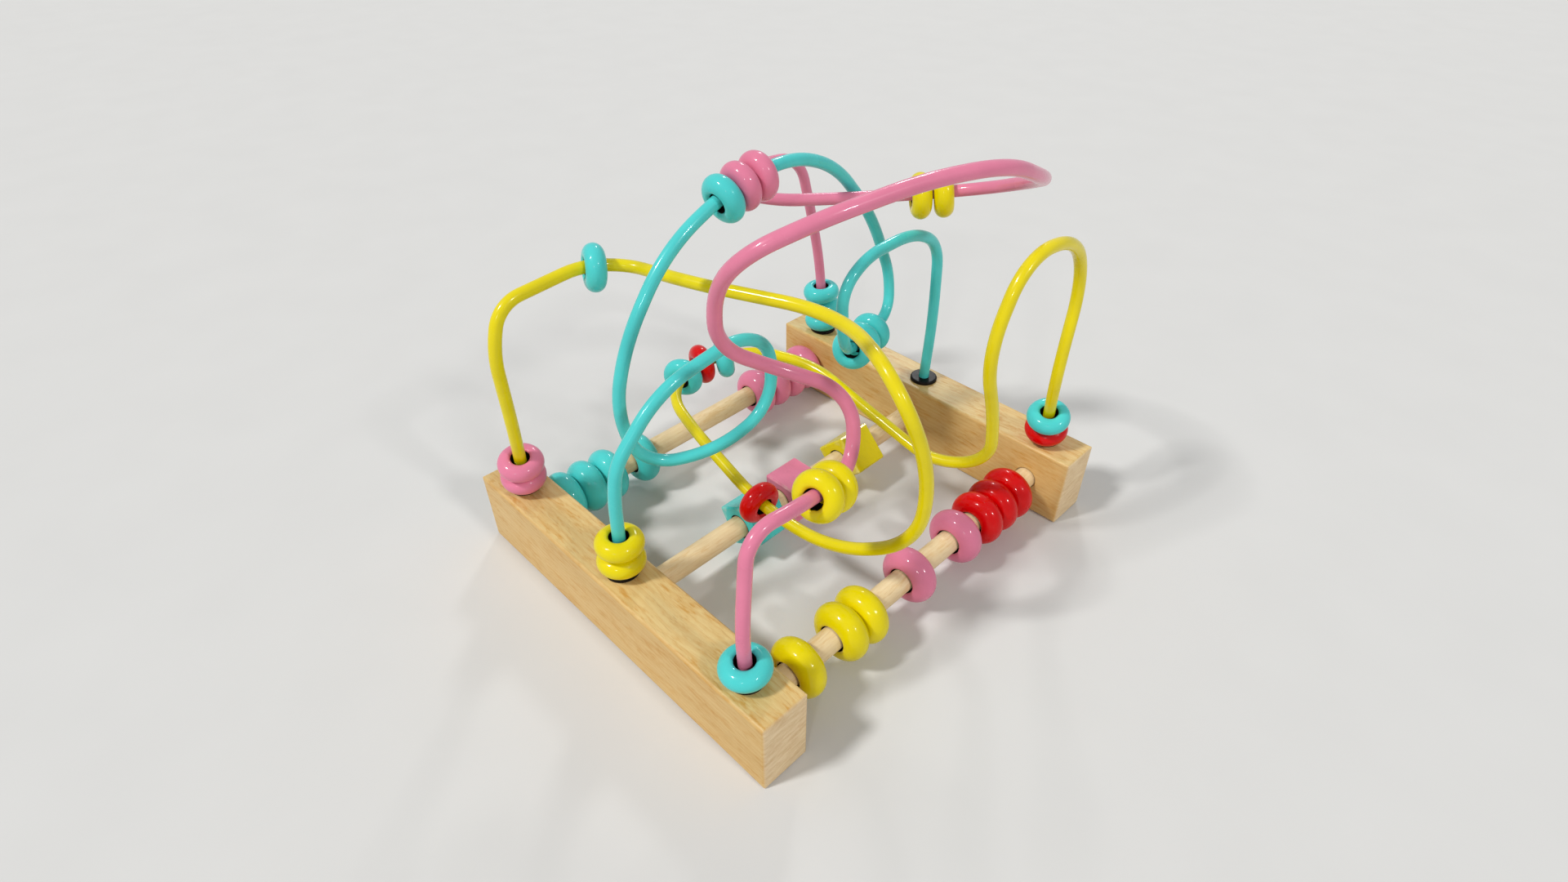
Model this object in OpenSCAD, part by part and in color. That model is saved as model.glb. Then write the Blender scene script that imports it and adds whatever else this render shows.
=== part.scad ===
// Wooden bead maze: two rails, three dowels and three bent wires that carry rings, cubes and round beads.
// X runs along the rails, Y from the front rail to the back rail, Z up. Millimetres.
// The origin is on the floor, midway between the rails and over the middle dowel.

/* [Overall] */
// Depth over both rails
maze_depth = 328; // [316:1:360]
// Height of the highest wire's top above the floor
maze_height = 292; // [280:1:320]

/* [Rails] */
// Length of each rail
rail_length = 280; // [270:1:340]
// Thickness of a rail, front to back
rail_width = 33; // [30:1:45]
// Height of a rail
rail_height = 54; // [52:1:70]
// Radius along the rails' edges
rail_edge = 2; // [1:0.5:4]

/* [Dowels] */
// Diameter of a dowel
dowel_diameter = 15.6; // [12:0.2:16]
// Distance from one dowel to the next, which the wires share
dowel_pitch = 110; // [106:1:118]
// Height of the dowels' centre lines above the floor
dowel_height = 26.5; // [24:0.5:30]
// Depth of the dowels' blind holes in the rails
dowel_socket = 14; // [8:1:20]
// Gap round a dowel in its hole
dowel_fit = 0.3; // [0.1:0.1:0.5]

/* [Wires] */
// Diameter of a coated wire
wire_diameter = 8; // [6:0.2:8.4]
// Height above the floor that the yellow wire's last arch is bent to
yellow_height = 229; // [215:1:245]
// Depth of the wires' holes in the rails
wire_socket = 18; // [12:1:24]
// Gap round a wire in its hole and in its grommet
wire_fit = 0.2; // [0.1:0.1:0.4]

/* [Grommets] */
// Diameter of a black grommet
grommet_diameter = 21; // [19:0.5:24]
// Height of a grommet
grommet_height = 2.6; // [1.5:0.1:4]

/* [Small beads] */
// Diameter of a bead on a wire
bead_diameter = 30; // [27:0.5:31]
// Thickness of a bead on a wire
bead_thickness = 13; // [11:0.5:13.5]
// Bore of a bead on a wire
bead_bore = 11.5; // [10.8:0.1:12]

/* [Rings and cubes] */
// Diameter of a ring on a dowel
ring_diameter = 39; // [37:0.5:41]
// Thickness of a ring on a dowel
ring_thickness = 18; // [14:0.5:18.5]
// Bore of a ring and of a cube
ring_bore = 17.2; // [16.6:0.1:18]
// Side of a cube on the middle dowel
cube_side = 29.5; // [28:0.5:31]
// Chamfer along a cube's edges
cube_chamfer = 1.2; // [0.5:0.1:2]

/* [Seats] */
// Gap that a loose piece keeps from what it rests on or touches
play = 0.3; // [0.2:0.05:0.4]

/* [Hidden] */
function numbered(name, count) = [for (k = [1:count]) str(name, k)];

wood = "#d9b27a";
pale_wood = "#e6cfa4";
yellow = "#f0d800";
teal = "#35c4bf";
pink = "#de7199";
red = "#d40a0e";
black = "#15130f";

// Facets of a round outline and of the wire's cross-section.
round_facets = 64;
wire_facets = 48;

dowel_radius = dowel_diameter / 2;
wire_radius = wire_diameter / 2;
rail_gap = maze_depth - 2 * rail_width;
// Centre line of a rail, measured from the maze's centre.
rail_line = (maze_depth - rail_width) / 2;

// Beads sag until their bore nearly touches what they hang on.
bead_sag = (bead_bore - wire_diameter) / 2 - play;
ring_sag = (ring_bore - dowel_diameter) / 2 - play;

// Places where a wire enters a rail, on the rail's top.
front_left = [-dowel_pitch, -rail_line, rail_height];
front_middle = [0, -rail_line, rail_height];
front_right = [dowel_pitch, -rail_line, rail_height];
back_left = [-dowel_pitch, rail_line, rail_height];
back_middle = [0, rail_line, rail_height];
back_right = [dowel_pitch, rail_line, rail_height];
middle = [0, 0, rail_height];
// Levels that the tallest arches are measured from.
yellow_arch = [dowel_pitch, rail_line, yellow_height - wire_radius];
pink_top = [0, 0, maze_height - wire_radius];

// A wire is bent at corner points. The first and last are its feet. The corners near the front rail are
// measured from a front foot, those near the back rail from a back foot, the tallest arches from
// their own level, and the rest from the middle.
function from(origin, corners) = [for (c = corners) origin + c];

// Yellow: up and over to the left, across to the right, round a great upright loop,
// back through a turn on the left, low across the back and over a last arch.
yellow_path = concat([front_left],
    from(front_left, [[12, -4, 53], [15, -6, 114], [14, 4, 142], [13, 62, 146], [23, 88, 141]]),
    from(middle, [[-33, -50, 144], [53, -18, 146], [120, -55, 153], [138, -40, 96], [133, -37, 37],
        [82, -48, 4], [22, -52, 4], [-51, -45, 22], [-90, -35, 27], [-110, -3, 29], [-102, 21, 31],
        [-79, 43, 37], [-39, 61, 34], [13, 57, 25], [78, 55, 12]]),
    from(back_right, [[3, -80, 26], [4, -88, 66], [2, -106, 118]]),
    from(yellow_arch, [[2, -81, 0], [4, -31, -3]]),
    from(back_right, [[0, 0, 128], [7, -20, 69]]),
    [back_right]);

// Teal: a low arch towards the middle, a dip to the front, one tall arch to the back rail,
// then a tight turn and a last upright loop.
teal_path = concat([front_middle],
    from(front_middle, [[0, 2, 56], [0, 6, 78], [0, 40, 112], [1, 100, 122], [-1, 127, 104],
        [1, 125, 60], [-3, 83, 45], [-29, 43, 39], [-33, 31, 84], [-31, 43, 128]]),
    from(middle, [[-31, -71, 173], [-33, -20, 194], [-32, 29, 200]]),
    from(back_middle, [[-33, -78.5, 184], [-32, -40, 140], [-32, -14, 85], [-26, -19, 57], [-17, -64, 53],
        [4, -105, 72], [3, -108, 119], [1, -83, 134], [3, -37, 137], [1, -3, 118], [2, 0, 59]]),
    [back_middle]);

// Pink: up and over towards the middle, back round an S to the highest reach, a hairpin at the
// back right, a long run to the left, a second hairpin and a straight leg down.
pink_path = concat([front_right],
    from(front_right, [[-1, -1, 36], [-8, 11, 93], [-6, 45, 91], [-18, 101, 74], [-29, 109, 118],
        [-61, 83, 130], [-74, 53, 150], [-66, 47, 187], [-44, 45, 213]]),
    from(pink_top, [[84, -72, -8], [101, -17, 0], [116, 25, 0], [112, 66, -18]]),
    from(back_middle, [[87, -30.5, 194], [32, -8.5, 167], [-20, -63.5, 162]]),
    from(middle, [[-58, 35, 163], [-99, 31, 162]]),
    from(back_left, [[-2, -72, 163], [-2, -30, 158], [-2, -18, 118], [-2, -4, 63]]),
    [back_left]);

// Share of the shorter neighbouring stretch that a bend uses up: nearly all of it, from both ends.
bend_share = 0.48;
// A thin collar of coating over each seam makes neighbouring stretches of a wire one solid.
collar_length = 0.8;
collar_height = 0.02;

function unit(v) = v / norm(v);
function last(path) = len(path) - 1;
function heading(path, i) = unit(path[i + 1] - path[i]);
function stretch(path, i) = norm(path[i + 1] - path[i]);
function cut(path, i) =
    (i == 0 || i == last(path)) ? 0 : bend_share * min(stretch(path, i - 1), stretch(path, i));
function bend_angle(path, i) = acos(heading(path, i - 1) * heading(path, i));
function bend_radius(path, i) = cut(path, i) / tan(bend_angle(path, i) / 2);
// Where the bend at corner i starts, and the direction from there to its centre.
function bend_start(path, i) = path[i] - heading(path, i - 1) * cut(path, i);
function bend_inward(path, i) =
    let (a = heading(path, i - 1), b = heading(path, i)) unit(cross(cross(a, b), a));
function bend_centre(path, i) = bend_start(path, i) + bend_inward(path, i) * bend_radius(path, i);
function bend_end(path, i) = path[i] + heading(path, i) * cut(path, i);

// A seat is a point on a wire and the direction of the wire there.
function on_bend(path, i, angle) = let (
    a = heading(path, i - 1),
    n = bend_inward(path, i),
    r = bend_radius(path, i),
    c = bend_centre(path, i))
    [c + r * (a * sin(angle) - n * cos(angle)), a * cos(angle) + n * sin(angle)];
function on_straight(path, i, distance) = [bend_end(path, i) + heading(path, i) * distance, heading(path, i)];
function reversed(path) = [for (i = [last(path):-1:0]) path[i]];
// Beads piled on a grommet: the k-th from the rail, lying square to the wire's leaning foot.
function on_foot(path, k) = let (
    d = heading(path, 0),
    lean = acos(d[2]),
    rise = grommet_height + play + bead_thickness / 2 + (bead_diameter - bead_thickness) / 2 * sin(lean))
    [path[0] + d * (rise / cos(lean) + (k - 1) * (bead_thickness + play)), d];

// Places of the rings and cubes on their dowels, by their centres' distance behind the middle.
// A row or ring near a rail keeps a gap from the rail's face, and its neighbour a gap from it.
row_pitch = ring_thickness + play;
left_row_gap = 1.2;
left_single_gap = 11.2;
left_row = -rail_gap / 2 + left_row_gap + ring_thickness / 2;
left_single = left_row + 3 * ring_thickness + 2 * play + left_single_gap;
cube_places = [-38, 1, 63];
cube_rolls = [31, 1, 44];
right_single_gap = 14.3;
right_row_gap = 15.1;
right_middle_gap = 7.4;
right_single = -rail_gap / 2 + right_single_gap + ring_thickness / 2;
right_pair = -70.6;
right_row = rail_gap / 2 - right_row_gap - ring_thickness / 2 - 2 * row_pitch;
right_middle_rings = [-5, right_row - right_middle_gap - ring_thickness];

// Places of the beads on the bends: the corner's number and how many degrees into its bend.
yellow_seats = [[4, 20], [12, 9.5], [15, 3], [15, 49], [16, 19]];
teal_top_seat = [12, 5.5];
teal_turn_seat = [18, 2.5];
teal_turn_spacing = 13;
pink_bend_seat = [15, 60];
// Places of the beads on straight stretches: the corner's number and how many millimetres past its bend.
pink_seats = [[3, 3], [3, 18], [15, 8]];
// The teal bead on the yellow wire's first arch hangs turned in its loose bore.
arch_bead_turn = 9;
arch_bead_lift = 0.1;

// Angle between two touching beads on a bend.
function bead_step(path, i) =
    2 * asin((bead_thickness + play) / 2 / (bend_radius(path, i) - (bead_diameter - bead_thickness) / 2));

// Sets a child's X, Y and Z along three given directions.
module place(origin, x, y, z) {
    multmatrix([[x[0], y[0], z[0], origin[0]],
                [x[1], y[1], z[1], origin[1]],
                [x[2], y[2], z[2], origin[2]],
                [0, 0, 0, 1]]) children();
}

// Sets a child's Z along a direction, its X level where it can be.
module aim(origin, direction) {
    side = abs(direction[2]) < 0.9 ? unit(cross([0, 0, 1], direction)) : unit(cross([1, 0, 0], direction));
    place(origin, side, cross(direction, side), direction) children();
}

// Rounded rectangle of exact arcs.
module rounded_rectangle(width, height, radius) {
    square([width - 2 * radius, height], center = true);
    square([width, height - 2 * radius], center = true);
    for (x = [-1, 1], y = [-1, 1])
        translate([x * (width / 2 - radius), y * (height / 2 - radius)])
            circle(r = radius, $fn = round_facets);
}

// Rail with all its edges rounded, its underside on the floor.
module rail_bar() {
    translate([0, 0, rail_height / 2])
        intersection() {
            rotate([90, 0, 90])
                linear_extrude(height = rail_length, center = true)
                    rounded_rectangle(rail_width, rail_height, rail_edge);
            linear_extrude(height = rail_height, center = true)
                rounded_rectangle(rail_length, rail_width, rail_edge);
            rotate([90, 0, 0])
                linear_extrude(height = rail_width, center = true)
                    rounded_rectangle(rail_length, rail_height, rail_edge);
        }
}

// Blind hole for a wire's foot, leaning with the wire.
module wire_hole(path) {
    d = heading(path, 0);
    aim(path[0] - d * wire_socket, d)
        cylinder(h = 2 * wire_socket, d = wire_diameter + 2 * wire_fit, $fn = round_facets);
}

// side is -1 for the front rail and 1 for the back rail.
module rail(side, paths) {
    color(wood)
        difference() {
            translate([0, side * rail_line, 0]) rail_bar();
            for (x = [-dowel_pitch, 0, dowel_pitch])
                translate([x, side * (rail_gap / 2 + dowel_socket), dowel_height])
                    rotate([side * 90, 0, 0])
                        cylinder(h = 2 * dowel_socket, d = dowel_diameter + 2 * dowel_fit, $fn = round_facets);
            for (path = paths) wire_hole(path);
        }
}

// Dowel that reaches the bottom of both its holes.
module dowel(x) {
    color(pale_wood)
        translate([x, 0, dowel_height])
            rotate([90, 0, 0])
                cylinder(h = rail_gap + 2 * dowel_socket, d = dowel_diameter, center = true, $fn = round_facets);
}

// Straight stretch of a wire from corner i to the next. The first and last reach down into the rails.
module wire_straight(path, i) {
    sunk = (i == 0) ? wire_socket : 0;
    far_sunk = (i == last(path) - 1) ? wire_socket : 0;
    d = heading(path, i);
    run = stretch(path, i) - cut(path, i) - cut(path, i + 1);
    aim(path[i] + d * (cut(path, i) - sunk), d)
        cylinder(h = run + sunk + far_sunk, r = wire_radius, $fn = wire_facets);
}

// Bend of a wire at corner i, a stretch of a torus.
module wire_bend(path, i) {
    a = heading(path, i - 1);
    n = bend_inward(path, i);
    place(bend_centre(path, i), -n, a, cross(-n, a))
        rotate_extrude(angle = bend_angle(path, i), $fn = 2 * wire_facets)
            translate([bend_radius(path, i), 0])
                circle(r = wire_radius, $fn = wire_facets);
}

// Stretch k of a wire: the even ones are straight, the odd ones bent.
module wire_stretch(path, k) {
    if (k % 2 == 0) wire_straight(path, k / 2);
    else wire_bend(path, (k + 1) / 2);
}

// Point where stretch k meets the next one.
function seam(path, k) = (k % 2 == 0) ? bend_start(path, k / 2 + 1) : bend_end(path, (k + 1) / 2);
function seam_heading(path, k) = heading(path, k % 2 == 0 ? k / 2 : (k + 1) / 2);

// Stretches first to final, welded two halves at a time.
module wire_run(path, first, final) {
    half = floor((first + final) / 2);
    if (first == final) wire_stretch(path, first);
    else
        union() {
            union() {
                wire_run(path, first, half);
                aim(seam(path, half), seam_heading(path, half))
                    cylinder(h = collar_length, r = wire_radius + collar_height, center = true,
                        $fn = wire_facets);
            }
            wire_run(path, half + 1, final);
        }
}

module wire(path, paint) {
    color(paint) wire_run(path, 0, 2 * last(path) - 2);
}

// Grommet with a rounded rim, bored along the wire's leaning foot.
module grommet(path) {
    rim = grommet_height / 2;
    color(black)
        difference() {
            translate(path[0])
                rotate_extrude($fn = round_facets) {
                    square([grommet_diameter / 2 - rim, grommet_height]);
                    square([grommet_diameter / 2, rim]);
                    translate([grommet_diameter / 2 - rim, rim]) circle(r = rim, $fn = wire_facets);
                }
            wire_hole(path);
        }
}

// Turned bead: a full round outside, and a bore whose edges blend into it.
module turned(diameter, thickness, bore) {
    crown = (diameter - thickness) / 2;
    lip = crown - bore / 2;
    rotate_extrude($fn = round_facets) {
        intersection() {
            translate([crown, 0]) circle(r = thickness / 2, $fn = wire_facets);
            translate([crown, -thickness]) square([thickness, 2 * thickness]);
        }
        translate([bore / 2, lip - thickness / 2]) square([lip, thickness - 2 * lip]);
        for (y = [-1, 1])
            intersection() {
                translate([crown, y * (thickness / 2 - lip)]) circle(r = lip, $fn = wire_facets);
                translate([bore / 2, -thickness]) square([lip, 2 * thickness]);
            }
    }
}

// Bead at a seat on a wire, sagging by a given amount and turned out of square about the line it hangs on.
module bead(seat, paint, sag, askew = 0) {
    t = seat[1];
    down = unit([0, 0, -1] + t * t[2]);
    color(paint)
        place(seat[0] + down * sag, down, cross(t, down), t)
            rotate([askew, 0, 0])
                turned(bead_diameter, bead_thickness, bead_bore);
}

// Ring on a dowel.
module ring(x, y, paint) {
    color(paint)
        translate([x, y, dowel_height - ring_sag])
            rotate([90, 0, 0])
                turned(ring_diameter, ring_thickness, ring_bore);
}

// Chamfered square for a cube's faces.
module chamfered_square() {
    square([cube_side, cube_side - 2 * cube_chamfer], center = true);
    square([cube_side - 2 * cube_chamfer, cube_side], center = true);
    for (x = [-1, 1], y = [-1, 1])
        translate([x, y] * (cube_side / 2 - cube_chamfer))
            rotate(45)
                square(cube_chamfer * sqrt(2), center = true);
}

// Cube on the middle dowel, rolled by an angle.
module wooden_cube(y, roll, paint) {
    color(paint)
        translate([0, y, dowel_height - ring_sag])
            rotate([90, -roll, 0])
                difference() {
                    intersection() {
                        linear_extrude(height = cube_side, center = true) chamfered_square();
                        rotate([90, 0, 0])
                            linear_extrude(height = cube_side, center = true) chamfered_square();
                        rotate([0, 90, 0])
                            linear_extrude(height = cube_side, center = true) chamfered_square();
                    }
                    cylinder(h = 2 * cube_side, d = ring_bore, center = true, $fn = round_facets);
                }
}

// Centre of the n-th ring of a row that starts at y.
function in_row(y, n) = y + n * row_pitch;
// First ring of a row of the given length that ends against the back rail.
function against_back(count) = rail_gap / 2 - play - ring_thickness / 2 - (count - 1) * row_pitch;

module left_ring(k) {
    if (k <= 3) ring(-dowel_pitch, in_row(left_row, k - 1), teal);
    else if (k == 4) ring(-dowel_pitch, left_single, teal);
    else ring(-dowel_pitch, in_row(against_back(4), k - 5), pink);
}

module middle_cube(k) {
    wooden_cube(cube_places[k - 1], cube_rolls[k - 1], [teal, pink, yellow][k - 1]);
}

module right_ring(k) {
    if (k == 1) ring(dowel_pitch, right_single, yellow);
    else if (k <= 3) ring(dowel_pitch, in_row(right_pair, k - 2), yellow);
    else if (k <= 5) ring(dowel_pitch, right_middle_rings[k - 4], pink);
    else ring(dowel_pitch, in_row(right_row, k - 6), red);
}

module yellow_wire_bead(k) {
    seat = yellow_seats[k - 3];
    if (k <= 2) bead(on_foot(yellow_path, k), pink, 0);
    else if (k == 3)
        bead(on_bend(yellow_path, seat[0], seat[1]), teal, bead_sag - arch_bead_lift, arch_bead_turn);
    else if (k <= 7) bead(on_bend(yellow_path, seat[0], seat[1]), k % 2 == 0 ? red : teal, bead_sag);
    else bead(on_foot(reversed(yellow_path), k - 7), k == 8 ? red : teal, 0);
}

module teal_wire_bead(k) {
    seat = k <= 5 ? teal_top_seat : teal_turn_seat;
    angle = seat[1] + (k <= 5 ? (k - 3) * bead_step(teal_path, seat[0]) : (k - 6) * teal_turn_spacing);
    if (k <= 2) bead(on_foot(teal_path, k), yellow, 0);
    else bead(on_bend(teal_path, seat[0], angle), k == 4 || k == 5 ? pink : teal, bead_sag);
}

module pink_wire_bead(k) {
    seat = pink_seats[k == 5 ? 2 : k - 2];
    if (k == 1) bead(on_foot(pink_path, k), teal, 0);
    else if (k == 4) bead(on_bend(pink_path, pink_bend_seat[0], pink_bend_seat[1]), yellow, bead_sag);
    else if (k <= 5) bead(on_straight(pink_path, seat[0], seat[1]), yellow, bead_sag);
    else bead(on_foot(reversed(pink_path), k - 5), teal, 0);
}

rail(-1, [yellow_path, teal_path, pink_path]);  // rail_front
rail(1, [reversed(yellow_path), reversed(teal_path), reversed(pink_path)]);  // rail_back
dowel(-dowel_pitch);  // dowel_left
dowel(0);  // dowel_middle
dowel(dowel_pitch);  // dowel_right
wire(yellow_path, yellow);  // yellow_wire
wire(teal_path, teal);  // teal_wire
wire(pink_path, pink);  // pink_wire
grommet(yellow_path);  // yellow_wire_front_grommet
grommet(reversed(yellow_path));  // yellow_wire_back_grommet
grommet(teal_path);  // teal_wire_front_grommet
grommet(reversed(teal_path));  // teal_wire_back_grommet
grommet(pink_path);  // pink_wire_front_grommet
grommet(reversed(pink_path));  // pink_wire_back_grommet
for (k = [1:8]) left_ring(k);
for (k = [1:3]) middle_cube(k);
for (k = [1:8]) right_ring(k);
for (k = [1:9]) yellow_wire_bead(k);
for (k = [1:8]) teal_wire_bead(k);
for (k = [1:8]) pink_wire_bead(k);
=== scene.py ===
import math

import bpy
import numpy as np
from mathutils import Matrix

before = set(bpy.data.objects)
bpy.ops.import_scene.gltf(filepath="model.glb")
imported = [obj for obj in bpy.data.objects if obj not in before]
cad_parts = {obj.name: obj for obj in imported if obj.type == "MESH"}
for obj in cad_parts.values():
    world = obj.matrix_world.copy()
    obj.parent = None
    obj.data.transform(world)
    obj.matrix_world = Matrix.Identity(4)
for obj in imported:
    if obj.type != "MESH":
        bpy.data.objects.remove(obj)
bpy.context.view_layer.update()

# Viewpoint of the photograph.
# The camera stands in front of the maze's right-hand corner, about 40 cm above the table,
# and looks down along the diagonal with a wide lens.
EYE = (0.31793, -0.32641, 0.42946)
LOOKS_DOWN, TURNED_LEFT = 38.131, 45.131
LENS, SENSOR_WIDTH = 19.276, 36
bpy.ops.object.camera_add(
    location=EYE, rotation=(math.radians(90 - LOOKS_DOWN), 0, math.radians(TURNED_LEFT)))
viewpoint = bpy.context.object
viewpoint.data.lens = LENS
viewpoint.data.sensor_width = SENSOR_WIDTH
bpy.context.scene.camera = viewpoint
bpy.context.scene.view_settings.view_transform = "Standard"

# Table top and studio.
# A plain pale sheet of board runs far out under and behind the maze.
# Four soft lamps stand well back, two in front, one behind and one at the right, in a pale room.
BOARD_SIZE = 40
bpy.ops.object.select_all(action="DESELECT")
bpy.ops.mesh.primitive_plane_add(size=BOARD_SIZE, location=(0, 0, 0))
board = bpy.context.object
board.name = "table_top"


def new_material(name):
    """A material with its node tree and its shader."""
    made = bpy.data.materials.new(name)
    made.use_nodes = True
    return made, made.node_tree, made.node_tree.nodes["Principled BSDF"]


def node(tree, kind, settings=(), **inputs):
    """A node whose inputs, by name or as i0, i1 and so on, take a value or follow another node's output."""
    made = tree.nodes.new(kind)
    for name, value in settings:
        setattr(made, name, value)
    for name, value in inputs.items():
        numbered = name[0] == "i" and name[1:].isdigit()
        socket = made.inputs[int(name[1:]) if numbered else name]
        if isinstance(value, bpy.types.NodeSocket):
            tree.links.new(value, socket)
        else:
            socket.default_value = value
    return made


def calculate(tree, operation, *values):
    """One arithmetic step on numbers or other nodes' outputs."""
    inputs = {f"i{k}": value for k, value in enumerate(values)}
    return node(tree, "ShaderNodeMath", [("operation", operation)], **inputs).outputs[0]


def product(tree, first, second):
    """One number times another."""
    return calculate(tree, "MULTIPLY", first, second)


def total(tree, first, second):
    """The sum of two numbers."""
    return calculate(tree, "ADD", first, second)


def less(tree, first, second):
    """The first number less the second."""
    return calculate(tree, "SUBTRACT", first, second)


def blend(tree, share, under, over, kind="MIX"):
    """Two colours mixed by a share."""
    return node(tree, "ShaderNodeMix", [("data_type", "RGBA"), ("blend_type", kind)],
                i0=share, i6=under, i7=over).outputs[2]


def fade(tree, value, none, full):
    """A mask that climbs from 0 to 1 between two values."""
    limits = {"From Min": none, "From Max": full}
    return node(tree, "ShaderNodeMapRange", Value=value, **limits).outputs[0]


def noise(tree, place, count, detail, rough=0.5):
    """Soft spots from 0 to 1, so many a metre."""
    return node(tree, "ShaderNodeTexNoise", Vector=place, Scale=count, Detail=detail,
                Roughness=rough).outputs["Fac"]


def place_on_object(tree):
    """Where a point lies, in metres on the maze."""
    return node(tree, "ShaderNodeTexCoord").outputs["Object"]


def tint(red, green, blue):
    """A colour given from 0 to 255, as a shader takes it."""
    levels = [part / 255 for part in (red, green, blue)]
    return tuple(((v + 0.055) / 1.055) ** 2.4 if v > 0.04 else v / 12.92 for v in levels) + (1,)


board_paint, tree, shader = new_material("table_board")
mottle = noise(tree, place_on_object(tree), 14.0, 4.0)
tree.links.new(blend(tree, fade(tree, mottle, 0.3, 0.7), tint(216, 215, 212), tint(218, 217, 214)),
               shader.inputs["Base Color"])
shader.inputs["Roughness"].default_value = 0.8
shader.inputs["Specular IOR Level"].default_value = 0.2
board.data.materials.append(board_paint)

# The room lights the maze plainly, looks pale in gloss, and is as pale as the board to the eye.
ROOM_LIGHT, MORE_IN_GLOSS, MORE_TO_THE_EYE = 0.31, 0.33, 0.43
COOL_LIGHT, BOARD_PALE = (0.95, 0.97, 1.0, 1), (0.99, 0.985, 0.965, 1)
room = bpy.data.worlds.new("studio_room")
room.use_nodes = True
bpy.context.scene.world = room
tree = room.node_tree
paths = node(tree, "ShaderNodeLightPath").outputs
mirrored = calculate(tree, "MAXIMUM", paths["Is Glossy Ray"], paths["Is Transmission Ray"])
strength = total(tree, ROOM_LIGHT, product(tree, mirrored, MORE_IN_GLOSS))
strength = total(tree, strength, product(tree, paths["Is Camera Ray"], MORE_TO_THE_EYE))
room_light = tree.nodes["Background"].inputs
tree.links.new(blend(tree, paths["Is Camera Ray"], COOL_LIGHT, BOARD_PALE), room_light["Color"])
tree.links.new(strength, room_light["Strength"])

for name, aim, softness, power in (
        ("front_left_lamp", (-0.62, -1.45, 1.90), 8.0, 1.88),
        ("front_right_lamp", (0.70, -1.20, 0.75), 5.0, 0.32),
        ("back_lamp", (-0.90, 1.20, 1.10), 7.0, 0.45),
        ("right_lamp", (1.50, 0.10, 1.20), 7.0, 0.80)):
    bpy.ops.object.light_add(type="SUN", location=aim)
    lamp = bpy.context.object
    lamp.name = name
    lamp.data.angle = math.radians(softness)
    lamp.data.energy = power
    off_upright = math.atan2(math.hypot(aim[0], aim[1]), aim[2])
    lamp.rotation_euler = (off_upright, 0, math.atan2(aim[1], aim[0]) + math.pi / 2)


# Rails.
# Two planed battens of pale hardwood, 280 mm long, with their edges eased and a thin clear varnish.
# The grain runs along them. Dowels are glued into their inner faces and the wires into their tops.
def new_group(name, takes, gives):
    """An effect for several materials, with its inputs and outputs by name and kind."""
    group = bpy.data.node_groups.new(name, "ShaderNodeTree")
    for way, sockets in (("INPUT", takes), ("OUTPUT", gives)):
        for socket, kind in sockets.items():
            group.interface.new_socket(socket, in_out=way, socket_type="NodeSocket" + kind)
    given = group.nodes.new("NodeGroupInput").outputs
    put = group.nodes.new("NodeGroupOutput").inputs
    return group, given, put


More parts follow.
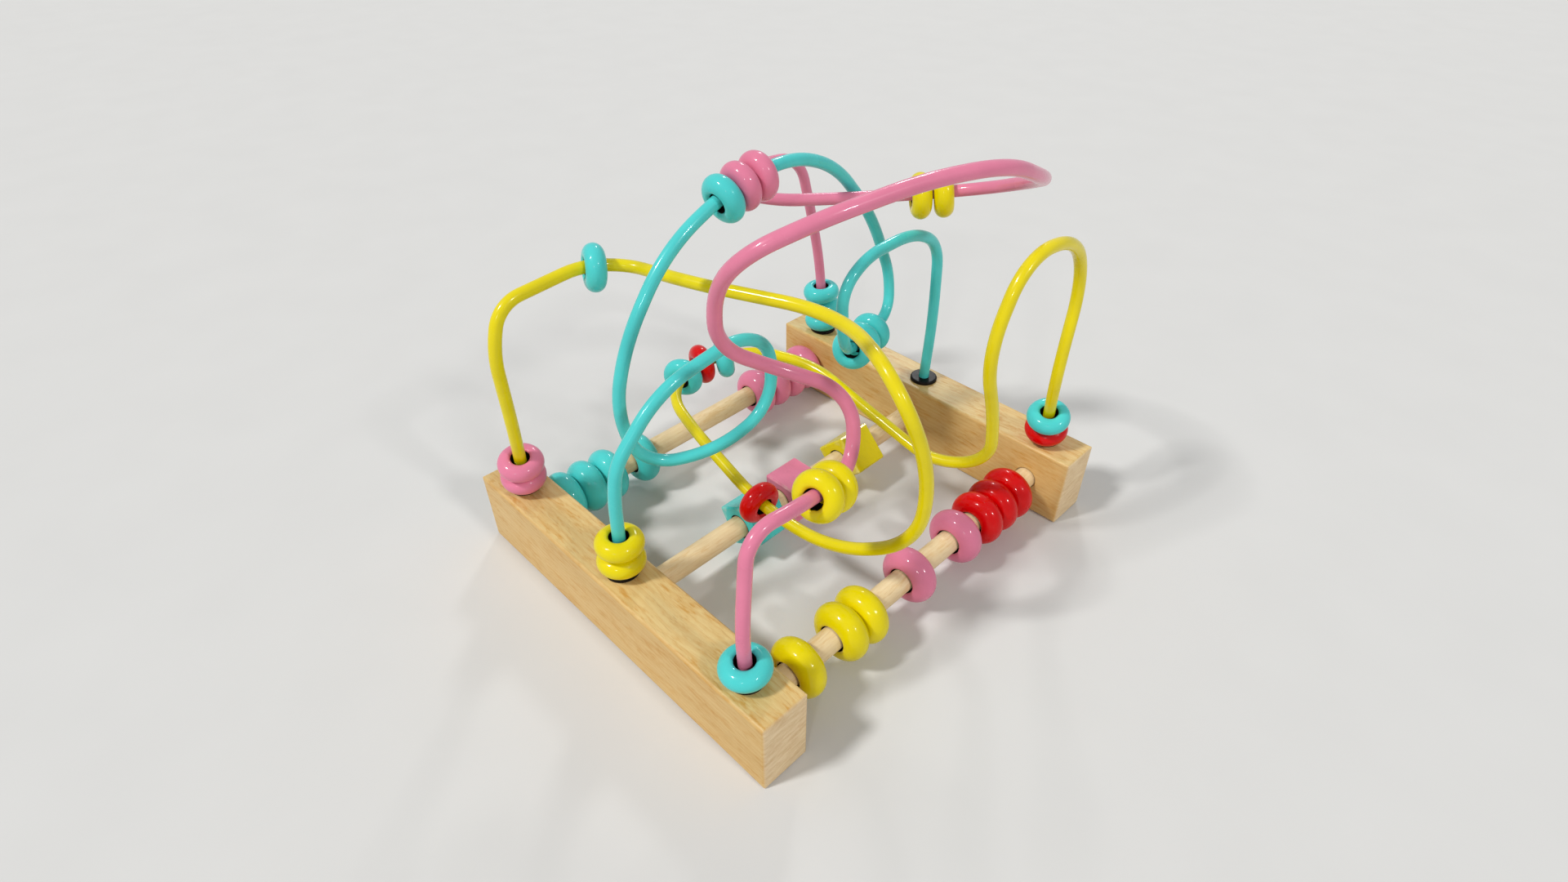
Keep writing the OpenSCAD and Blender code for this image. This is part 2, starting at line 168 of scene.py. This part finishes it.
def wood_figure():
    """Grain that runs along X round a pith on that axis: year rings, fibres, pores and warm patches."""
    group, given, put = new_group(
        "wood_figure",
        {"Place": "Vector", "Pale": "Color", "Honey": "Color", "Brown": "Color",
         "Ring width": "Float", "Pith distance": "Float"},
        {"Color": "Color", "Roughness": "Float", "Height": "Float"})
    apart = node(group, "ShaderNodeSeparateXYZ", Vector=given["Place"]).outputs
    squared = [product(group, apart[k], apart[k]) for k in ("Y", "Z")]
    from_pith = calculate(group, "SQRT", total(group, *squared))
    angle = calculate(group, "ARCTAN2", apart["Y"], apart["Z"])
    around = product(group, angle, given["Pith distance"])
    straight = node(group, "ShaderNodeCombineXYZ", X=apart["X"], Y=from_pith, Z=around).outputs[0]

    def figure_noise(where, along, outward, sideways, detail=3.0, rough=0.6):
        """Noise with so many spots a metre along the grain, outward from the pith and round it."""
        spread = node(group, "ShaderNodeVectorMath", [("operation", "MULTIPLY")],
                      i0=where, i1=(along, outward, sideways)).outputs[0]
        return noise(group, spread, 1.0, detail, rough)

    def toned(under, mask, share, over):
        """The wood's tone with a figure laid over it."""
        return blend(group, product(group, mask, share), under, over)

    # The rings wander a little, and all else in the figure bends with them.
    wander = figure_noise(straight, 7.0, 24.0, 20.0, 2.0)
    bent = total(group, from_pith, product(group, wander, 0.012))
    wavy = node(group, "ShaderNodeCombineXYZ", X=apart["X"], Y=bent, Z=around).outputs[0]
    year = calculate(group, "FRACT", calculate(group, "DIVIDE", bent, given["Ring width"]))
    late_wood = product(group, fade(group, year, 0.35, 0.92), fade(group, year, 1.0, 0.94))
    broad = figure_noise(wavy, 5.0, 30.0, 18.0, 2.0)
    patches = figure_noise(wavy, 32.0, 150.0, 70.0, 4.0)
    fibres = figure_noise(wavy, 95.0, 1000.0, 160.0, 3.0, 0.65)
    hairs = figure_noise(wavy, 170.0, 2300.0, 420.0, 2.0)
    flecks = figure_noise(wavy, 105.0, 560.0, 280.0, 3.0)
    dashes = figure_noise(wavy, 110.0, 1000.0, 600.0, 1.0)

    # Warm flecks lie in clusters on the pale wood, with brown pores and hairs over them.
    tone = toned(given["Pale"], late_wood, 0.26, given["Honey"])
    tone = toned(tone, fade(group, patches, 0.48, 0.72), 0.45, given["Honey"])
    cluster = product(group, fade(group, flecks, 0.49, 0.64), fade(group, patches, 0.38, 0.58))
    tone = toned(tone, cluster, 0.85, given["Honey"])
    tone = toned(tone, fade(group, fibres, 0.56, 0.36), 0.16, given["Honey"])
    pores = fade(group, dashes, 0.62, 0.71)
    tone = toned(tone, pores, 0.20, given["Brown"])
    tone = toned(tone, fade(group, hairs, 0.50, 0.34), 0.07, given["Brown"])
    shade = blend(group, fade(group, broad, 0.3, 0.7), (0.92, 0.91, 0.89, 1), (1.05, 1.06, 1.08, 1))
    group.links.new(blend(group, 1.0, tone, shade, "MULTIPLY"), put["Color"])

    rough = total(group, product(group, fibres, 0.20), 0.34)
    group.links.new(total(group, rough, product(group, pores, 0.15)), put["Roughness"])
    raised = total(group, product(group, fibres, 0.5), product(group, hairs, 0.25))
    group.links.new(less(group, raised, product(group, pores, 0.6)), put["Height"])
    return group


def second_nearest(tree, first, second, third):
    """The middle one of three distances to faces: small only along an edge."""
    low = calculate(tree, "MINIMUM", first, second)
    high = calculate(tree, "MAXIMUM", first, second)
    return calculate(tree, "MAXIMUM", low, calculate(tree, "MINIMUM", high, third))


def set_surface(tree, shader, color, roughness, height, relief, depth, specular):
    """Joins a surface's colour, roughness and fine relief to its shader, with its plain gloss."""
    tree.links.new(color, shader.inputs["Base Color"])
    tree.links.new(roughness, shader.inputs["Roughness"])
    bump = node(tree, "ShaderNodeBump", Height=height, Strength=relief, Distance=depth)
    tree.links.new(bump.outputs[0], shader.inputs["Normal"])
    shader.inputs["Specular IOR Level"].default_value = specular


figure = wood_figure()
RAIL_LENGTH, RAIL_WIDTH, RAIL_HEIGHT, RAIL_LINE = 0.280, 0.033, 0.054, 0.1475
DOWEL_LINES, DOWEL_HEIGHT, DOWEL_RADIUS = (-0.110, 0.0, 0.110), 0.0265, 0.0078
RAIL_PALE, RAIL_HONEY, RAIL_BROWN = tint(227, 198, 136), tint(206, 153, 72), tint(164, 106, 46)
# Depths below a face or an edge, and widths round a dowel, at which a finish or a painted shade sets in and
# is full.
FACE_DEPTHS, EDGE_DEPTHS, CREASE_SHADE_WIDTHS = (0.0012, 0.0002), (0.0018, 0.0009), (0.0012, 0.0004)
INNER_FACE_DEPTHS = (0.0015, 0.0005)

for name, side, pith in (
        ("rail_front", -1, (0.03, -0.213, 0.113)),
        ("rail_back", 1, (0.19, 0.092, 0.134))):
    batten, tree, shader = new_material(name + "_wood")
    place = place_on_object(tree)
    from_heart = node(tree, "ShaderNodeMapping", [("vector_type", "TEXTURE")], Vector=place, Location=pith,
                      Rotation=(0, math.radians(2.0), math.radians(1.5 * side))).outputs[0]
    grain = node(tree, "ShaderNodeGroup", [("node_tree", figure)], Place=from_heart,
                 Pale=RAIL_PALE, Honey=RAIL_HONEY, Brown=RAIL_BROWN,
                 **{"Ring width": 0.0031, "Pith distance": 0.12}).outputs

    # Edges: where a point lies close to two faces at once, the wood is painted darker in patches.
    apart = node(tree, "ShaderNodeSeparateXYZ", Vector=place).outputs
    to_end = less(tree, RAIL_LENGTH / 2, calculate(tree, "ABSOLUTE", apart["X"]))
    across = calculate(tree, "ABSOLUTE", less(tree, apart["Y"], side * RAIL_LINE))
    to_side = less(tree, RAIL_WIDTH / 2, across)
    upright = calculate(tree, "ABSOLUTE", less(tree, apart["Z"], RAIL_HEIGHT / 2))
    to_top = less(tree, RAIL_HEIGHT / 2, upright)
    edge = fade(tree, second_nearest(tree, to_end, to_side, to_top), *EDGE_DEPTHS)
    darker_patches = product(tree, edge, fade(tree, noise(tree, place, 90.0, 3.0), 0.62, 0.40))
    tone = blend(tree, product(tree, darker_patches, 0.45), grain["Color"], tint(206, 166, 104))

    # The side faces are painted darker and warmer than the top, as painted shade where less light falls on
    # them.
    shaded_side_face = fade(tree, to_side, *FACE_DEPTHS)
    tone = blend(tree, product(tree, shaded_side_face, 0.30), tone, tint(204, 152, 70))

    # The sawn ends are greyer and duller, with faint bands and lines across them where the saw went.
    end_face = fade(tree, to_end, *FACE_DEPTHS)
    drawn_out = node(tree, "ShaderNodeMapping", Vector=place, Rotation=(math.radians(-4 * side), 0, 0),
                     Scale=(1, 75, 330)).outputs[0]
    saw_lines = noise(tree, drawn_out, 1.0, 5.0, 0.7)
    sawn = blend(tree, fade(tree, saw_lines, 0.32, 0.68), tint(212, 180, 138), tint(243, 220, 184))
    tone = blend(tree, product(tree, end_face, 0.70), tone, sawn)

    # A thin dark line is painted round each dowel where it enters the inner face: painted shade in the
    # crease between dowel and rail.
    dowel_crease_shade = 0.0
    for x in DOWEL_LINES:
        arm = node(tree, "ShaderNodeCombineXYZ", X=less(tree, apart["X"], x),
                   Z=less(tree, apart["Z"], DOWEL_HEIGHT)).outputs[0]
        gap = node(tree, "ShaderNodeVectorMath", [("operation", "LENGTH")], i0=arm).outputs["Value"]
        line = fade(tree, gap, *(DOWEL_RADIUS + width for width in CREASE_SHADE_WIDTHS))
        dowel_crease_shade = calculate(tree, "MAXIMUM", dowel_crease_shade, line)
    inner_face = fade(tree, product(tree, apart["Y"], -side),
                      *(RAIL_WIDTH / 2 - RAIL_LINE - depth for depth in INNER_FACE_DEPTHS))
    dowel_crease_shade = product(tree, dowel_crease_shade, inner_face)
    tone = blend(tree, product(tree, dowel_crease_shade, 0.55), tone, tint(112, 74, 38))

    duller = total(tree, grain["Roughness"], product(tree, end_face, 0.14))
    set_surface(tree, shader, tone, duller, grain["Height"], relief=0.35, depth=0.0002, specular=0.28)
    shader.inputs["Coat Weight"].default_value = 0.12
    shader.inputs["Coat Roughness"].default_value = 0.25
    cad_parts[name].data.materials[0] = batten

# Dowels.
# Three round rods of a paler, straight-grained wood, 15.6 mm thick, glued between the rails.
# They are left bare, and the rings and cubes that slide on them have polished them.
ROD_PALE, ROD_HONEY, ROD_BROWN = tint(235, 212, 168), tint(223, 189, 134), tint(188, 144, 90)
for name, x in zip(("dowel_left", "dowel_middle", "dowel_right"), DOWEL_LINES):
    rod, tree, shader = new_material(name + "_wood")
    place = place_on_object(tree)
    # Each rod was cut at another place in the plank, so its pith lies elsewhere.
    pith = (x + 0.035, 0.3 * x + 0.02, DOWEL_HEIGHT - 0.045 + 0.2 * x)
    from_heart = node(tree, "ShaderNodeMapping", [("vector_type", "TEXTURE")], Vector=place, Location=pith,
                      Rotation=(math.radians(1.0), 0, math.radians(90.6))).outputs[0]
    grain = node(tree, "ShaderNodeGroup", [("node_tree", figure)], Place=from_heart,
                 Pale=ROD_PALE, Honey=ROD_HONEY, Brown=ROD_BROWN,
                 **{"Ring width": 0.0022, "Pith distance": 0.057}).outputs
    darker_patches = product(tree, fade(tree, noise(tree, place, 38.0, 4.0), 0.50, 0.75), 0.18)
    tone = blend(tree, darker_patches, grain["Color"], tint(196, 158, 108))
    polished = less(tree, grain["Roughness"], 0.04)
    set_surface(tree, shader, tone, polished, grain["Height"], relief=0.30, depth=0.00015, specular=0.35)
    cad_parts[name].data.materials[0] = rod


# Wires.
# Three steel wires, 8 mm thick with their plastic coat, bent round formers and set in the rails.
# The coat is glossy, with faint waves where the bending stretched it and rub marks from the beads.
def surface_wear():
    """Marks of handling on a glossy coat: a mottled tone, dull smudges, hair scratches and fine waves."""
    group, given, put = new_group(
        "surface_wear",
        {"Color": "Color", "Wave count": "Float", "Gloss": "Float"},
        {"Color": "Color", "Roughness": "Float", "Height": "Float"})
    place = place_on_object(group)
    mottle = noise(group, place, 60.0, 4.0)
    lit = blend(group, fade(group, mottle, 0.3, 0.7), (0.94, 0.93, 0.93, 1), (1.03, 1.03, 1.03, 1))
    toned = blend(group, 1.0, given["Color"], lit, "MULTIPLY")
    drawn_out = node(group, "ShaderNodeVectorMath", [("operation", "MULTIPLY")], i0=place,
                     i1=(1.0, 0.12, 1.0)).outputs[0]
    scratches = node(group, "ShaderNodeTexVoronoi", [("feature", "DISTANCE_TO_EDGE")], Vector=drawn_out,
                     Scale=260.0).outputs["Distance"]
    broken = fade(group, noise(group, place, 180.0, 2.0), 0.55, 0.66)
    hair = product(group, fade(group, scratches, 0.012, 0.0), broken)
    scratched = blend(group, product(group, hair, 0.05), toned, (0.9, 0.88, 0.84, 1))
    group.links.new(scratched, put["Color"])
    dull = product(group, fade(group, noise(group, place, 35.0, 5.0, 0.6), 0.45, 0.75), 0.07)
    rough = total(group, total(group, given["Gloss"], dull), product(group, hair, 0.1))
    group.links.new(rough, put["Roughness"])
    waves = noise(group, place, given["Wave count"], 2.0)
    group.links.new(less(group, waves, product(group, hair, 0.25)), put["Height"])
    return group


wear = surface_wear()
YELLOW, TEAL, PINK, RED = tint(231, 213, 3), tint(78, 208, 205), tint(226, 128, 157), tint(214, 0, 2)

for name, colour in (("yellow_wire", YELLOW), ("teal_wire", TEAL), ("pink_wire", PINK)):
    coat, tree, shader = new_material(name + "_coat")
    marks = node(tree, "ShaderNodeGroup", [("node_tree", wear)], Color=colour, Gloss=0.24,
                 **{"Wave count": 240.0}).outputs
    set_surface(tree, shader, marks["Color"], marks["Roughness"], marks["Height"],
                relief=0.16, depth=0.0002, specular=0.16)
    shader.inputs["Coat Weight"].default_value = 0.40
    shader.inputs["Coat Roughness"].default_value = 0.06
    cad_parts[name].data.materials[0] = coat

# Grommets.
# Six black plastic rings, pressed over the wires' feet and down on the rails.
# They are moulded glossy, with a little dust in the corner at the wood.
DUST_HEIGHT = 0.0010
grommet_plastic, tree, shader = new_material("grommet_plastic")
marks = node(tree, "ShaderNodeGroup", [("node_tree", wear)], Color=tint(14, 10, 8), Gloss=0.34,
             **{"Wave count": 700.0}).outputs
height = node(tree, "ShaderNodeSeparateXYZ", Vector=place_on_object(tree)).outputs["Z"]
dust = product(tree, fade(tree, height, RAIL_HEIGHT + DUST_HEIGHT, RAIL_HEIGHT), 0.25)
dusty = blend(tree, dust, marks["Color"], tint(120, 104, 84))
set_surface(tree, shader, dusty, total(tree, marks["Roughness"], dust), marks["Height"],
            relief=0.15, depth=0.0001, specular=0.14)
for wire in ("yellow", "teal", "pink"):
    for end in ("front", "back"):
        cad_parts[f"{wire}_wire_{end}_grommet"].data.materials[0] = grommet_plastic


# Rings, cubes and round beads.
# Hardwood, turned or sawn, drilled, and dipped in thick glossy paint that settled smooth.
# The drilled bores are painted near black inside, as painted shade, with a thin ragged line where the paint
# ends.
def painted_wood():
    """Dipped paint on a bored piece: it ends in the bore, pools at the rim and shows faint turning lines."""
    group, given, put = new_group(
        "painted_wood",
        {"Color": "Color", "Centre": "Vector", "Axis": "Vector", "Bore radius": "Float"},
        {"Color": "Color", "Roughness": "Float", "Coat": "Float", "Height": "Float"})
    place = place_on_object(group)
    arm = node(group, "ShaderNodeVectorMath", [("operation", "SUBTRACT")],
               i0=place, i1=given["Centre"]).outputs[0]
    off_axis = node(group, "ShaderNodeVectorMath", [("operation", "CROSS_PRODUCT")],
                    i0=arm, i1=given["Axis"]).outputs[0]
    radius = node(group, "ShaderNodeVectorMath", [("operation", "LENGTH")], i0=off_axis).outputs["Value"]
    ragged = product(group, less(group, noise(group, place, 420.0, 3.0), 0.5), 0.0007)
    past_bore = less(group, less(group, radius, given["Bore radius"]), ragged)
    bare_bore_and_shade = fade(group, past_bore, 0.0006, 0.00035)
    marks = node(group, "ShaderNodeGroup", [("node_tree", wear)], Color=given["Color"], Gloss=0.26,
                 **{"Wave count": 130.0}).outputs
    pooled = product(group, fade(group, past_bore, 0.0024, 0.0006), 0.30)
    deeper = blend(group, pooled, marks["Color"], given["Color"], "MULTIPLY")
    # Inside the bore the paint ends, and the colour there is painted near black: painted shade in the hole.
    group.links.new(blend(group, bare_bore_and_shade, deeper, tint(16, 11, 8)), put["Color"])
    rough = calculate(group, "MAXIMUM", marks["Roughness"], product(group, bare_bore_and_shade, 0.8))
    group.links.new(rough, put["Roughness"])
    group.links.new(product(group, less(group, 1.0, bare_bore_and_shade), 0.36), put["Coat"])
    turning = calculate(group, "SINE", product(group, radius, 9000.0))
    lumps = total(group, marks["Height"], product(group, turning, 0.03))
    group.links.new(less(group, lumps, product(group, bare_bore_and_shade, 0.6)), put["Height"])
    return group


dipped = painted_wood()
PAINTS = {"yellow": YELLOW, "teal": TEAL, "pink": PINK, "red": RED}
BEAD_BORE_RADIUS, RING_BORE_RADIUS, CUBE_SIDE = 0.00575, 0.0086, 0.0295
CUBE_EDGE_DEPTHS = (0.0020, 0.0006)
painted = {
    "left_ring": "teal teal teal teal pink pink pink pink",
    "middle_cube": "teal pink yellow",
    "right_ring": "yellow yellow yellow pink pink red red red",
    "yellow_wire_bead": "pink pink teal red teal red teal red teal",
    "teal_wire_bead": "yellow yellow teal pink pink teal teal teal",
    "pink_wire_bead": "teal yellow yellow yellow yellow teal teal teal"}

for row, colours in painted.items():
    for count, colour in enumerate(colours.split(), 1):
        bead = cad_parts[f"{row}_{count}"]
        points = np.array([v.co for v in bead.data.vertices])
        if row.endswith("bead"):
            # A round bead is flattest along its bore.
            around = np.linalg.eigh(np.cov(points.T))[1]
            bore = around[:, 0]
            reach = points @ around
            centre = around @ ((reach.max(axis=0) + reach.min(axis=0)) / 2)
            bore_radius = BEAD_BORE_RADIUS
        else:
            bore = np.array((0.0, 1.0, 0.0))
            centre = (points.max(axis=0) + points.min(axis=0)) / 2
            bore_radius = RING_BORE_RADIUS
        paint, tree, shader = new_material(f"{row}_{count}_{colour}_paint")
        skin = node(tree, "ShaderNodeGroup", [("node_tree", dipped)], Color=PAINTS[colour],
                    Centre=tuple(centre), Axis=tuple(bore), **{"Bore radius": bore_radius}).outputs
        tone, raised = skin["Color"], skin["Height"]
        if row == "middle_cube":
            # A cube is sawn, so its grain prints through the paint, and its edges are rubbed paler.
            place = place_on_object(tree)
            from_heart = node(tree, "ShaderNodeVectorMath", [("operation", "ADD")],
                              i0=place, i1=(0.1 * count, 0.06, 0.09)).outputs[0]
            grain = node(tree, "ShaderNodeGroup", [("node_tree", figure)], Place=from_heart,
                         Pale=(1, 1, 1, 1), Honey=(0.90, 0.89, 0.88, 1), Brown=(0.82, 0.80, 0.78, 1),
                         **{"Ring width": 0.0030, "Pith distance": 0.19}).outputs
            tone = blend(tree, 0.6, tone, grain["Color"], "MULTIPLY")
            raised = total(tree, raised, product(tree, grain["Height"], 0.8))
            arm = node(tree, "ShaderNodeVectorMath", [("operation", "SUBTRACT")],
                       i0=place, i1=tuple(centre)).outputs[0]
            apart = node(tree, "ShaderNodeSeparateXYZ", Vector=arm).outputs
            to_faces = [less(tree, CUBE_SIDE / 2, calculate(tree, "ABSOLUTE", apart[k])) for k in "XYZ"]
            edge = fade(tree, second_nearest(tree, *to_faces), *CUBE_EDGE_DEPTHS)
            rubbed = product(tree, edge, fade(tree, noise(tree, place, 160.0, 3.0), 0.40, 0.65))
            tone = blend(tree, product(tree, rubbed, 0.28), tone, tint(244, 238, 214))
        set_surface(tree, shader, tone, skin["Roughness"], raised, relief=0.18, depth=0.0002, specular=0.08)
        tree.links.new(skin["Coat"], shader.inputs["Coat Weight"])
        shader.inputs["Coat Roughness"].default_value = 0.06
        bead.data.materials[0] = paint
